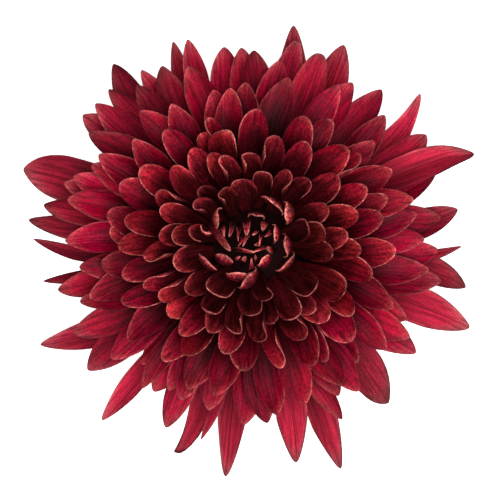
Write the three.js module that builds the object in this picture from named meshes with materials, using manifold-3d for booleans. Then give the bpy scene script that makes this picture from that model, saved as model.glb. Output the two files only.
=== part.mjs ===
// A pompon chrysanthemum, cut close under the head and lying on its back, face up.
// The bloom is a dome of strap-shaped ray florets: short hooded ones round the eye, spoons on
// the crown, and long pointed rays that droop to the surface it lies on. A green cup of bracts
// holds them from below, and the cut stub of the stem ends flat on that surface.
// Millimetres and degrees, +Z up. Azimuths run anticlockwise from +X, seen from above.
import * as THREE from "three";
import { mergeVertices } from "three/addons/utils/BufferGeometryUtils.js";
import Module from "manifold-3d";

const wasm = await Module();
wasm.setup();

// ---------------------------------------------------------------- driving dimensions

const RAY_REACH = 52; // from the axis to the tips of the longest rays, in plan
const CROWN_HEIGHT = 44; // top of the dome of tips, above the surface it lies on
const CROWN_FALL = 2.2; // how the dome falls away: 2 is a parabola, more keeps it fuller
const EYE_DEPTH = 5; // how far the tips at the eye lie below the dome
const EYE_RADIUS = 6;

const RECEPTACLE_RADIUS = 8.5; // the disc that the florets grow from
const RECEPTACLE_TOP = 19;
const RECEPTACLE_DOME = 5; // its rim lies this much lower
const CORE_SHARE = [0.4, 0.15]; // of a floret's length, packed claw, at the eye and in the skirt
const CORE_LEVELS = [52, 38, 26, 16, 8]; // reaches of the florets that shape the core of claws
const CLAW_SUNK = 0.06; // share of its length by which a blade starts inside that core
const CLAW_BREADTH = 0.25; // of the strap's breadth
const SPOON_END = 0.62; // length of a spoon's round end, of its breadth
const RAY_SHOULDER = 0.72; // where a ray starts to taper, of its length
const RAYS_FROM = 41; // florets that reach further are pointed rays
const BLADE_THICKNESS = 0.7;
const LAYER_STEP = 1.6; // a floret that would cross its neighbour grows this much further down

const ROOT_RISE = [95, 10]; // slope of a floret at its root, at the eye and in the skirt
const TIP_RISE = [150, -28]; // and at its tip, where more than 90 hooks inwards
const ROOT_PULL = 0.42; // how far a floret holds each slope, as a share of its chord
const TIP_PULL = 0.32;

const SEAT_HEIGHT = 13.8; // underside of the packed claws
const SEAT_GAP = 0.3; // between one piece of the flower and the next
const CUP_RADIUS = 11;
const BRACT_WHORLS = 3;
const BRACTS = 13; // in each whorl
const BRACT_THICKNESS = 0.6;
const STEM_RADIUS = 2.8;
const STEM_RIBS = 7;
const STEM_RIB_DEPTH = 0.25;
const STEM_LENGTH = 6;

// ---------------------------------------------------------------- where the florets stand

// Each whorl's florets end at about one reach from the axis. The azimuths are those of the
// tips, as they grew.
const WHORLS = [
  { reach: 13.2, breadth: 5.0, azimuths: [20, 46, 99, 123, 152, 172, 203, 232, 262, 294, 330] },
  { reach: 16.4, breadth: 5.4, azimuths: [8, 77, 135, 175, 198, 222, 237, 271, 318] },
  { reach: 18.8, breadth: 5.8, azimuths: [24, 45, 61, 91, 108, 176, 257, 300, 347] },
  { reach: 23.9, breadth: 6.8, azimuths: [15, 37, 75, 123, 136, 155, 187, 214, 272, 301, 329, 355] },
  { reach: 25.5, breadth: 6.8, azimuths: [61, 108, 202, 233, 256] },
  { reach: 28.1, breadth: 7.3, azimuths: [26, 108, 168, 268, 285, 323, 343] },
  { reach: 29.6, breadth: 7.3, azimuths: [12, 45, 66, 88, 146, 185, 196, 240, 297] },
  { reach: 32.0, breadth: 7.3, azimuths: [19, 39, 55, 128, 157, 168, 205, 232, 302, 357] },
  { reach: 34.4, breadth: 7.3, azimuths: [27, 38, 92, 98, 104, 120, 138, 219, 248, 256, 336] },
  { reach: 37.4, breadth: 7.2, azimuths: [9, 15, 77, 129, 149, 189, 198, 247, 280, 290, 303, 322] },
  { reach: 39.8, breadth: 7.1, azimuths: [44, 61, 80, 179, 200, 219, 228, 268, 275, 307, 329, 352] },
  { reach: 41.3, breadth: 7.0, azimuths: [7, 57, 88, 110, 159, 166, 357] },
  { reach: 42.9, breadth: 6.8, azimuths: [20, 93, 97, 116, 125, 146, 162, 193, 206, 326, 348] },
];

// The rays of the skirt make the outline, so each has its own reach, breadth and sideways sweep.
const RAYS = [
  { azimuth: 9, reach: 46.0, breadth: 6.4, sweep: 3 },
  { azimuth: 22, reach: 52.6, breadth: 7.2, sweep: -5 },
  { azimuth: 31.5, reach: 45.2, breadth: 6.0, sweep: 2 },
  { azimuth: 40, reach: 49.6, breadth: 4.4, sweep: 3 },
  { azimuth: 49.5, reach: 44.1, breadth: 7.0, sweep: 0 },
  { azimuth: 64.5, reach: 47.9, breadth: 7.2, sweep: 2 },
  { azimuth: 69.5, reach: 44.3, breadth: 6.8, sweep: 0 },
  { azimuth: 77, reach: 45.4, breadth: 6.2, sweep: -1 },
  { azimuth: 78.5, reach: 48.5, breadth: 6.8, sweep: 3 },
  { azimuth: 107, reach: 46.5, breadth: 5.0, sweep: -1 },
  { azimuth: 111, reach: 47.1, breadth: 4.4, sweep: -2 },
  { azimuth: 122, reach: 44.5, breadth: 5.6, sweep: 1 },
  { azimuth: 127.5, reach: 49.3, breadth: 6.0, sweep: -3 },
  { azimuth: 132.5, reach: 45.6, breadth: 5.8, sweep: 1 },
  { azimuth: 138, reach: 45.4, breadth: 6.8, sweep: 0 },
  { azimuth: 142.5, reach: 46.0, breadth: 5.0, sweep: 1 },
  { azimuth: 162, reach: 52.2, breadth: 9.2, sweep: 1.5 },
  { azimuth: 169.5, reach: 45.8, breadth: 5.6, sweep: 0 },
  { azimuth: 174, reach: 48.7, breadth: 5.6, sweep: -1 },
  { azimuth: 179, reach: 47.4, breadth: 3.0, sweep: -5 },
  { azimuth: 190.5, reach: 46.0, breadth: 2.6, sweep: -1 },
  { azimuth: 206, reach: 51.1, breadth: 6.0, sweep: -4 },
  { azimuth: 218, reach: 45.0, breadth: 7.4, sweep: 1 },
  { azimuth: 230, reach: 50.6, breadth: 4.6, sweep: 0 },
  { azimuth: 245.5, reach: 44.3, breadth: 6.0, sweep: 1 },
  { azimuth: 251, reach: 49.1, breadth: 5.6, sweep: -1 },
  { azimuth: 256, reach: 44.3, breadth: 2.4, sweep: -3 },
  { azimuth: 264, reach: 51.5, breadth: 6.2, sweep: 0 },
  { azimuth: 282, reach: 49.1, breadth: 6.8, sweep: -2 },
  { azimuth: 292, reach: 53.3, breadth: 6.0, sweep: -1 },
  { azimuth: 297.5, reach: 43.4, breadth: 4.6, sweep: 2 },
  { azimuth: 311, reach: 46.2, breadth: 7.4, sweep: -5 },
  { azimuth: 339.5, reach: 51.5, breadth: 8.0, sweep: 0 },
  { azimuth: 348.5, reach: 48.2, breadth: 6.0, sweep: -4 },
  { azimuth: 359, reach: 46.2, breadth: 2.6, sweep: 5 },
];

// The eye is still unopened: its florets stand in the golden-angle spiral that they grew in.
const EYE_FLORETS = 34;
const EYE_REACH = 11.2;
const GOLDEN_ANGLE = 137.508;

// ---------------------------------------------------------------- the plan of the florets

const radians = THREE.MathUtils.degToRad;
const lerp = THREE.MathUtils.lerp;

// Park and Miller's generator: exact in whole numbers, so the same florets grow every time.
let seed = 2;
function draw(low, high) {
  seed = (seed * 16807) % 2147483647;
  return low + ((high - low) * seed) / 2147483647;
}

function eyePlan() {
  return Array.from({ length: EYE_FLORETS }, (_, n) => {
    const share = (n + 0.6) / EYE_FLORETS;
    return {
      form: share < 0.66 ? "sliver" : "spoon",
      azimuth: n * GOLDEN_ANGLE + draw(-6, 6),
      reach: EYE_REACH * share ** 0.62 + draw(-0.3, 0.3),
      breadth: lerp(1.6, 4.6, share) * draw(0.9, 1.1),
      sweep: draw(-12, 12),
      roll: draw(-20, 20),
      hook: draw(0, 20),
      cup: 0.5,
    };
  });
}

function crownPlan() {
  return WHORLS.flatMap(({ reach, breadth, azimuths }) =>
    azimuths.map((azimuth) => ({
      form: reach > RAYS_FROM ? "ray" : "spoon",
      azimuth: azimuth + draw(-1, 1),
      reach: reach + draw(-0.7, 0.7),
      breadth: breadth * draw(0.94, 1.08),
      sweep: draw(-3, 3),
      roll: draw(-12, 12),
      hook: draw(-10, 10),
      cup: lerp(0.6, 0.1, reach / RAY_REACH),
    })),
  );
}

function skirtPlan() {
  return RAYS.map((ray) => ({
    ...ray,
    form: "ray",
    roll: draw(-14, 14),
    hook: draw(-8, 8),
    cup: draw(0.05, 0.25),
  }));
}

// Degrees between two azimuths, 0 to 180.
function apart(a, b) {
  return Math.abs(((((a - b) % 360) + 540) % 360) - 180);
}

// Settles the florets in layers, from the eye outwards. A floret's level is its reach, or a
// step past the level of any neighbour that it would otherwise cross, so that it lies under it.
function layered(plan) {
  const settled = [];
  for (const floret of [...plan].sort((a, b) => a.reach - b.reach)) {
    const crossed = settled.filter(({ azimuth, reach, breadth }) => {
      const between = radians(apart(floret.azimuth, azimuth)) * reach;
      return between < 0.4 * (floret.breadth + breadth);
    });
    const level = Math.max(floret.reach, ...crossed.map((other) => other.level + LAYER_STEP));
    settled.push({ ...floret, level });
  }
  return settled;
}

// ---------------------------------------------------------------- the run of a floret

// Height of a floret's tip on the dome.
function tipHeight(level) {
  const dome = CROWN_HEIGHT * (1 - (level / RAY_REACH) ** CROWN_FALL);
  return dome - EYE_DEPTH * Math.exp(-((level / EYE_RADIUS) ** 2));
}

// A vector in the upright plane through the axis, from its slope and length.
function heading(slope, length) {
  return new THREE.Vector2(Math.cos(radians(slope)), Math.sin(radians(slope))).multiplyScalar(length);
}

// A floret's midrib in the upright plane through the axis: a cubic from its root on the
// receptacle to its tip. Inner florets rise steeply and hook inwards, outer ones spread and droop.
function midrib(level, reach, hook) {
  const share = level / RAY_REACH;
  const root = new THREE.Vector2(
    RECEPTACLE_RADIUS * share ** 0.6,
    RECEPTACLE_TOP - RECEPTACLE_DOME * share ** 1.2,
  );
  const tip = new THREE.Vector2(reach, tipHeight(level));
  const chord = root.distanceTo(tip);
  const rootRise = lerp(...ROOT_RISE, share ** 0.9);
  const tipRise = lerp(...TIP_RISE, share ** 0.8) + hook;
  return new THREE.CubicBezierCurve(
    root,
    heading(rootRise, ROOT_PULL * chord).add(root),
    heading(tipRise, -TIP_PULL * chord).add(tip),
    tip,
  );
}

// Share of a floret's length that is claw, packed in the core among the others.
function packedShare(level) {
  return lerp(...CORE_SHARE, Math.min(level / RAY_REACH, 1));
}

// ---------------------------------------------------------------- one blade

// Closed mesh of a blade from its stations, each a ring of points in the same order.
// The first and last rings are capped. A ring of one point is a pointed tip.
function ringsToGeometry(rings) {
  const points = rings.flat();
  const triangles = [];
  const sides = rings[0].length;
  for (let i = 0; i + 1 < rings.length; i++) {
    const a = i * sides;
    const b = a + sides;
    for (let j = 0; j < sides; j++) {
      const k = (j + 1) % sides;
      if (rings[i + 1].length === 1) triangles.push(a + k, a + j, b);
      else if (j < sides / 2) triangles.push(a + k, a + j, b + k, b + k, a + j, b + j);
      else triangles.push(a + k, a + j, b + j, b + k, a + k, b + j); // split as on the upper face
    }
  }
  const last = points.length - sides;
  for (let j = 1; j + 1 < sides; j++) {
    triangles.push(0, j, j + 1);
    if (rings.at(-1).length > 1) triangles.push(last, last + j + 1, last + j);
  }
  return new THREE.BufferGeometry().setFromPoints(points).setIndex(triangles);
}

// Corners of a blade's section: how far across, from -1 to 1, and how far under its upper face.
const SECTION = [
  [-1, 0],
  [0, 0],
  [1, 0],
  [0, 1],
];

// A closed blade along a curve in an upright plane through the axis. Each station is a share of
// the curve's length and a share of the breadth, 0 for a point. The plane turns by the sweep,
// the blade rolls about its run, and it lies on the surface where it would reach below it.
function blade(curve, stations, { azimuth, breadth, sweep, roll, cup, thickness }) {
  const rings = stations.map(([s, share]) => {
    const at = curve.getPointAt(s);
    const run = curve.getTangentAt(s);
    const bearing = radians(azimuth - 2 * sweep * (1 - s * s));
    const tilt = radians(roll * s);
    const halfBreadth = (share * breadth) / 2;
    const out = new THREE.Vector3(Math.cos(bearing), Math.sin(bearing), 0);
    const side = new THREE.Vector3(-out.y, out.x, 0);
    const face = out.clone().multiplyScalar(-run.y).setZ(run.x);
    const centre = out.clone().multiplyScalar(at.x).setZ(at.y);
    const corner = ([across, under]) => {
      const wide = across * halfBreadth;
      const high = cup * halfBreadth * Math.abs(across) - under * thickness;
      const point = centre
        .clone()
        .addScaledVector(side, wide * Math.cos(tilt) - high * Math.sin(tilt))
        .addScaledVector(face, wide * Math.sin(tilt) + high * Math.cos(tilt));
      const lowest = under ? 0 : thickness / (1 + Math.abs(across));
      return point.setZ(Math.max(point.z, lowest));
    };
    return share ? SECTION.map(corner) : [corner([0, 0.5])];
  });
  return ringsToGeometry(rings);
}

// ---------------------------------------------------------------- joining

function toSolid(geometry) {
  const bare = geometry.clone();
  bare.deleteAttribute("normal");
  bare.deleteAttribute("uv");
  const merged = mergeVertices(bare, 1e-4);
  return new wasm.Manifold(
    new wasm.Mesh({
      numProp: 3,
      vertProperties: merged.attributes.position.array,
      triVerts: new Uint32Array(merged.index.array),
    }),
  );
}

// Joins closed geometries into one body. Pockets that the join seals are filled and loose
// scraps are dropped, because only the outer skin of the largest body is kept.
function fuse(geometries) {
  const joined = geometries.map(toSolid).reduce((whole, next) => whole.add(next));
  const bodies = joined.decompose();
  const body = bodies.reduce((best, next) => (next.volume() > best.volume() ? next : best));
  const mesh = body.getMesh();
  const geometry = new THREE.BufferGeometry();
  geometry.setAttribute("position", new THREE.BufferAttribute(mesh.vertProperties, mesh.numProp));
  geometry.setIndex(new THREE.BufferAttribute(mesh.triVerts, 1));
  return geometry;
}

// Turns an outline in the upright plane about the axis, closed on the axis at both ends.
function turned(outline, sides) {
  const first = new THREE.Vector2(0, outline[0].y);
  const last = new THREE.Vector2(0, outline.at(-1).y);
  return new THREE.LatheGeometry([first, ...outline, last], sides).rotateX(Math.PI / 2);
}

// ---------------------------------------------------------------- ray florets

// The packed claws as one solid. Its skin passes through every floret at the end of its claw.
function core() {
  const skin = CORE_LEVELS.map((level) => midrib(level, level, 0).getPointAt(packedShare(level)));
  const seat = new THREE.Vector2(skin[0].x - 1, SEAT_HEIGHT);
  return turned([seat, ...skin], 20);
}

// Share of its breadth that a floret has along its length: a narrow claw that widens to the strap.
function strapBreadth(s) {
  return lerp(CLAW_BREADTH, 1, THREE.MathUtils.smoothstep(s, 0.1, 0.85));
}

// Stations of a floret's outline: its foot in the core, the strap, and a round or pointed end.
function stationsOf({ form, breadth, level }, length) {
  const root = packedShare(level) - CLAW_SUNK;
  const shoulder = form === "ray" ? RAY_SHOULDER : 1 - (SPOON_END * breadth) / length;
  const foot = [root, strapBreadth(root)];
  if (form === "sliver") return [foot, [shoulder, 1], [1, 0.3]];
  const middle = (root + shoulder) / 2;
  return [
    foot,
    [middle, strapBreadth(middle)],
    [shoulder, 1],
    [lerp(shoulder, 1, 0.62), 0.78],
    [1, form === "ray" ? 0 : 0.3],
  ];
}

function rayFloret(floret) {
  const curve = midrib(floret.level, floret.reach, floret.hook);
  const stations = stationsOf(floret, curve.getLength());
  return blade(curve, stations, { ...floret, thickness: BLADE_THICKNESS });
}

function rayFlorets() {
  const florets = layered([...eyePlan(), ...crownPlan(), ...skirtPlan()]);
  return fuse([core(), ...florets.map(rayFloret)]);
}

// ---------------------------------------------------------------- involucre

// Outline of the cup in the upright plane through the axis, from the stem to its rim.
const CUP = new THREE.QuadraticBezierCurve(
  new THREE.Vector2(STEM_RADIUS + 0.4, STEM_LENGTH + SEAT_GAP),
  new THREE.Vector2(CUP_RADIUS - 1, STEM_LENGTH + 1.4),
  new THREE.Vector2(CUP_RADIUS, SEAT_HEIGHT - SEAT_GAP),
);

// A point near the cup's outline, so far outwards from it.
function offCup(share, outwards) {
  const run = CUP.getTangent(share);
  return CUP.getPoint(share).add(new THREE.Vector2(run.y, -run.x).multiplyScalar(outwards));
}

// A bract grows out of the cup and arches along it to a free point.
function bract(whorl, n) {
  const foot = 0.06 + 0.24 * whorl;
  const curve = new THREE.QuadraticBezierCurve(
    offCup(foot, -0.5),
    offCup(foot + 0.2, 1.2),
    offCup(foot + 0.46, 0.8),
  );
  return blade(curve, [[0, 0.8], [0.55, 1], [1, 0]], {
    azimuth: ((n + 0.5 * (whorl % 2)) * 360) / BRACTS,
    breadth: 2.6 + 0.7 * whorl,
    sweep: 0,
    roll: 0,
    cup: 0.25,
    thickness: BRACT_THICKNESS,
  });
}

function involucre() {
  const bracts = [];
  for (let whorl = 0; whorl < BRACT_WHORLS; whorl++)
    for (let n = 0; n < BRACTS; n++) bracts.push(bract(whorl, n));
  return fuse([turned(CUP.getPoints(6), 26), ...bracts]);
}

// ---------------------------------------------------------------- stem stub

function stemStub() {
  const outline = Array.from({ length: 8 * STEM_RIBS }, (_, n) => {
    const around = n / (8 * STEM_RIBS);
    const radius = STEM_RADIUS - STEM_RIB_DEPTH * (0.5 - 0.5 * Math.cos(around * STEM_RIBS * 2 * Math.PI));
    return heading(around * 360, radius);
  });
  return new THREE.ExtrudeGeometry(new THREE.Shape(outline), { depth: STEM_LENGTH, bevelEnabled: false });
}

// ---------------------------------------------------------------- the flower

function piece(name, geometry, color, roughness) {
  const material = new THREE.MeshStandardMaterial({ color, roughness, metalness: 0 });
  const mesh = new THREE.Mesh(geometry, material);
  mesh.name = name;
  return mesh;
}

const flower = new THREE.Group();
flower.add(
  piece("ray_florets", rayFlorets(), 0x8a1626, 0.6),
  piece("involucre", involucre(), 0x5c7a3a, 0.7),
  piece("stem_stub", stemStub(), 0x6b8a45, 0.7),
);

// The flower's origin is the middle of its bounding box, on the surface that it lies on.
const bounds = new THREE.Box3().setFromObject(flower);
const middle = bounds.getCenter(new THREE.Vector3());
flower.position.set(-middle.x, -middle.y, -bounds.min.z);

export default flower;
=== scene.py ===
import math

import bmesh
import bpy
import numpy as np
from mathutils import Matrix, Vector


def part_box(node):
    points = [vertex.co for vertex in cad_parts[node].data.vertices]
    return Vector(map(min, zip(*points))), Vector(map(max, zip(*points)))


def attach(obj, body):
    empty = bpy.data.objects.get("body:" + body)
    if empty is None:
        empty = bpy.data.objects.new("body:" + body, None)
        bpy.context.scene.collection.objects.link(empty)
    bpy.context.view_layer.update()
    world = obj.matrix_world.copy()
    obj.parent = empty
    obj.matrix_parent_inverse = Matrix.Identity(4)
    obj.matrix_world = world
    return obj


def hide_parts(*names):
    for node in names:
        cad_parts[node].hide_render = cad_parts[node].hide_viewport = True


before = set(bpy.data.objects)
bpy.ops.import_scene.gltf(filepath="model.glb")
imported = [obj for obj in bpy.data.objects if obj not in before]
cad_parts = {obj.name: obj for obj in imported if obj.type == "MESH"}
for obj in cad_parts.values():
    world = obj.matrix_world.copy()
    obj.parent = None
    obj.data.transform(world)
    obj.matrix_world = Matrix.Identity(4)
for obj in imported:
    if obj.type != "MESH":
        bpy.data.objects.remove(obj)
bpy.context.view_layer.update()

MM = 0.001

# ---------------------------------------------------------------- where the florets stand
# Every petal of a chrysanthemum is a floret of its own, a strap that grows from one small disc.
# The youngest stand in a golden-angle spiral in the eye. The others were pushed aside by their
# neighbours as they opened, so each has its own azimuth, and all of them lie in layers.

EYE_FLORETS = 34
EYE_REACH = 11.2 * MM
EYE_BREADTHS = (1.6 * MM, 4.6 * MM)  # of the youngest floret, and of the oldest one in the eye
GOLDEN_ANGLE = 137.508
LAYER_STEP = 1.6 * MM
OVERLAP = 0.4  # of their breadths together: florets that stand closer lie over each other

# Reach of a whorl's tips from the axis and breadth of its florets, in mm as in all the tables,
# and the azimuths of their tips.
WHORLS = [
    (13.2, 5.0, [20, 46, 99, 123, 152, 172, 203, 232, 262, 294, 330]),
    (16.4, 5.4, [8, 77, 135, 175, 198, 222, 237, 271, 318]),
    (18.8, 5.8, [24, 45, 61, 91, 108, 176, 257, 300, 347]),
    (23.9, 6.8, [15, 37, 75, 123, 136, 155, 187, 214, 272, 301, 329, 355]),
    (25.5, 6.8, [61, 108, 202, 233, 256]),
    (28.1, 7.3, [26, 108, 168, 268, 285, 323, 343]),
    (29.6, 7.3, [12, 45, 66, 88, 146, 185, 196, 240, 297]),
    (32.0, 7.3, [19, 39, 55, 128, 157, 168, 205, 232, 302, 357]),
    (34.4, 7.3, [27, 38, 92, 98, 104, 120, 138, 219, 248, 256, 336]),
    (37.4, 7.2, [9, 15, 77, 129, 149, 189, 198, 247, 280, 290, 303, 322]),
    (39.8, 7.1, [44, 61, 80, 179, 200, 219, 228, 268, 275, 307, 329, 352]),
    (41.3, 7.0, [7, 57, 88, 110, 159, 166, 357]),
    (42.9, 6.8, [20, 93, 97, 116, 125, 146, 162, 193, 206, 326, 348]),
]

# Azimuth, reach, breadth and sideways sweep of each ray of the skirt.
RAYS = [
    (9, 46.0, 6.4, 3), (22, 52.6, 7.2, -5), (31.5, 45.2, 6.0, 2), (40, 49.6, 4.4, 3),
    (49.5, 44.1, 7.0, 0), (64.5, 47.9, 7.2, 2), (69.5, 44.3, 6.8, 0), (77, 45.4, 6.2, -1),
    (78.5, 48.5, 6.8, 3), (107, 46.5, 5.0, -1), (111, 47.1, 4.4, -2), (122, 44.5, 5.6, 1),
    (127.5, 49.3, 6.0, -3), (132.5, 45.6, 5.8, 1), (138, 45.4, 6.8, 0), (142.5, 46.0, 5.0, 1),
    (162, 52.2, 9.2, 1.5), (169.5, 45.8, 5.6, 0), (174, 48.7, 5.6, -1), (179, 47.4, 3.0, -5),
    (190.5, 46.0, 2.6, -1), (206, 51.1, 6.0, -4), (218, 45.0, 7.4, 1), (230, 50.6, 4.6, 0),
    (245.5, 44.3, 6.0, 1), (251, 49.1, 5.6, -1), (256, 44.3, 2.4, -3), (264, 51.5, 6.2, 0),
    (282, 49.1, 6.8, -2), (292, 53.3, 6.0, -1), (297.5, 43.4, 4.6, 2), (311, 46.2, 7.4, -5),
    (339.5, 51.5, 8.0, 0), (348.5, 48.2, 6.0, -4), (359, 46.2, 2.6, 5),
]


def lerp(low, high, share):
    return low + (high - low) * share


class Draws:
    """Park and Miller's generator, so that the same flower grows every time."""

    def __init__(self, seed):
        self.seed = seed

    def __call__(self, low, high):
        self.seed = self.seed * 16807 % 2147483647
        return low + (high - low) * self.seed / 2147483647


def plan_eye(draw):
    for n in range(EYE_FLORETS):
        share = (n + 0.6) / EYE_FLORETS
        yield {
            "azimuth": n * GOLDEN_ANGLE + draw(-6, 6),
            "reach": EYE_REACH * share**0.62 + draw(-0.3, 0.3) * MM,
            "breadth": lerp(*EYE_BREADTHS, share) * draw(0.9, 1.1),
            "sweep": draw(-12, 12),
            "roll": draw(-20, 20),
            "hook": draw(0, 20),
        }


def plan_crown(draw):
    for reach, breadth, azimuths in WHORLS:
        for azimuth in azimuths:
            yield {
                "azimuth": azimuth + draw(-1, 1),
                "reach": (reach + draw(-0.7, 0.7)) * MM,
                "breadth": breadth * draw(0.94, 1.08) * MM,
                "sweep": draw(-3, 3),
                "roll": draw(-12, 12),
                "hook": draw(-10, 10),
            }


def plan_skirt(draw):
    for azimuth, reach, breadth, sweep in RAYS:
        yield {
            "azimuth": azimuth,
            "reach": reach * MM,
            "breadth": breadth * MM,
            "sweep": sweep,
            "roll": draw(-14, 14),
            "hook": draw(-8, 8),
            "cup": draw(0.05, 0.25),  # until its age tells how flat it has opened
        }


def apart(a, b):
    """Degrees between two azimuths."""
    return abs((a - b + 180) % 360 - 180)


def layered(plan):
    """Settles the florets from the eye outwards: one that would cross a neighbour lies under it."""
    settled = []
    for floret in sorted(plan, key=lambda floret: floret["reach"]):
        level = floret["reach"]
        for other in settled:
            between = math.radians(apart(floret["azimuth"], other["azimuth"])) * other["reach"]
            if between < OVERLAP * (floret["breadth"] + other["breadth"]):
                level = max(level, other["level"] + LAYER_STEP)
        settled.append({**floret, "level": level})
    return settled


grow = Draws(2)
florets = layered([*plan_eye(grow), *plan_crown(grow), *plan_skirt(grow)])

# ---------------------------------------------------------------- florets of the eye
# The youngest florets are slivers and small hooded spoons, still folded over the eye, so they
# show the salmon back of the petal as much as its dark face. Each is one soft strap of petal
# tissue, a third of a millimetre thick, that narrows to the claw it grew on.

RAY_REACH = 52 * MM
CROWN_HEIGHT = 44 * MM
PETAL_THICKNESS = 0.22 * MM
LOWEST = PETAL_THICKNESS + 0.05 * MM  # where a petal lies on the surface
STEM_RADIUS = 2.8 * MM
ALONG = 100  # steps in a floret's run
ACROSS = 41  # points from its middle to its edge
FULL_CURL = 170  # degrees that an edge turns which has rolled right in

stub_low, stub_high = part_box("stem_stub")
AXIS = (stub_high.x - STEM_RADIUS, (stub_low.y + stub_high.y) / 2)  # the flower's axis, in plan


def smoothstep(share):
    share = np.clip(share, 0, 1)
    return share * share * (3 - 2 * share)


def pick(test):
    """Selects the vertices of the mesh in edit mode whose place passes the test."""
    mesh = bmesh.from_edit_mesh(bpy.context.object.data)
    for vertex in mesh.verts:
        vertex.select_set(bool(test(vertex.co)))
    mesh.select_flush_mode()
    bmesh.update_edit_mesh(bpy.context.object.data)


def flat_strap(name, columns, rows, end):
    """A floret cut flat, 1 long from its claw along +Y and from -1 to 1 across. Each column is
    drawn back to its own end, which gives the tip its round or pointed outline."""
    bpy.ops.object.select_all(action="DESELECT")
    bpy.ops.mesh.primitive_grid_add(
        x_subdivisions=len(columns) - 1, y_subdivisions=len(rows) - 1, size=2
    )
    strap = bpy.context.object
    strap.name = name
    bpy.ops.object.mode_set(mode="EDIT")
    bpy.ops.mesh.select_all(action="SELECT")
    bpy.ops.transform.translate(value=(0, 1, 0))
    bpy.ops.transform.resize(value=(1, 0.5, 1), center_override=(0, 0, 0))
    for row, even in reversed(list(zip(rows, np.linspace(0, 1, len(rows))))):
        pick(lambda co: abs(co.y - even) < 1e-4)
        bpy.ops.transform.translate(value=(0, row - even, 0))
    for column, even in zip(columns, np.linspace(-1, 1, len(columns))):
        pick(lambda co: abs(co.x - even) < 1e-4)
        bpy.ops.transform.resize(value=(1, end(abs(column)), 1), center_override=(0, 0, 0))
        bpy.ops.transform.translate(value=(column - even, 0, 0))
    bpy.ops.object.mode_set(mode="OBJECT")
    return strap


def round_end(across):
    return 1 - 0.2 * (1 - (1 - min(across, 1) ** 2.2) ** 0.5)


def hooded_end(across):
    return 1 - 0.3 * across**2


def evenly(points, hood=0, hood_from=0.75):
    """A curve's points and slopes, evenly by length, with its last part bent by the hood."""
    steps = np.linalg.norm(np.diff(points, axis=0), axis=1)
    along = np.concatenate([[0], np.cumsum(steps)])
    s = np.linspace(0, 1, ALONG + 1)
    r = np.interp(s * along[-1], along, points[:, 0])
    z = np.interp(s * along[-1], along, points[:, 1])
    slope = np.unwrap(np.arctan2(np.gradient(z), np.gradient(r)))
    slope = slope + math.radians(hood) * smoothstep((s - hood_from) / (1 - hood_from))
    middle = (slope[1:] + slope[:-1]) / 2
    r = r[0] + np.concatenate([[0], np.cumsum(np.cos(middle) * along[-1] / ALONG)])
    z = z[0] + np.concatenate([[0], np.cumsum(np.sin(middle) * along[-1] / ALONG)])
    return s, r, z, slope


# What the tissue of a floret takes its colours from, kept on its mesh. Besides its tint and age,
# they say how light the painted shade at its claw is, which side of it is painted lit, and how
# strong the painted highlights along its edges and at its tip are.
TRAITS = ("tint", "age", "claw", "pale_side", "pale_edge", "pale_tip")


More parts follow.
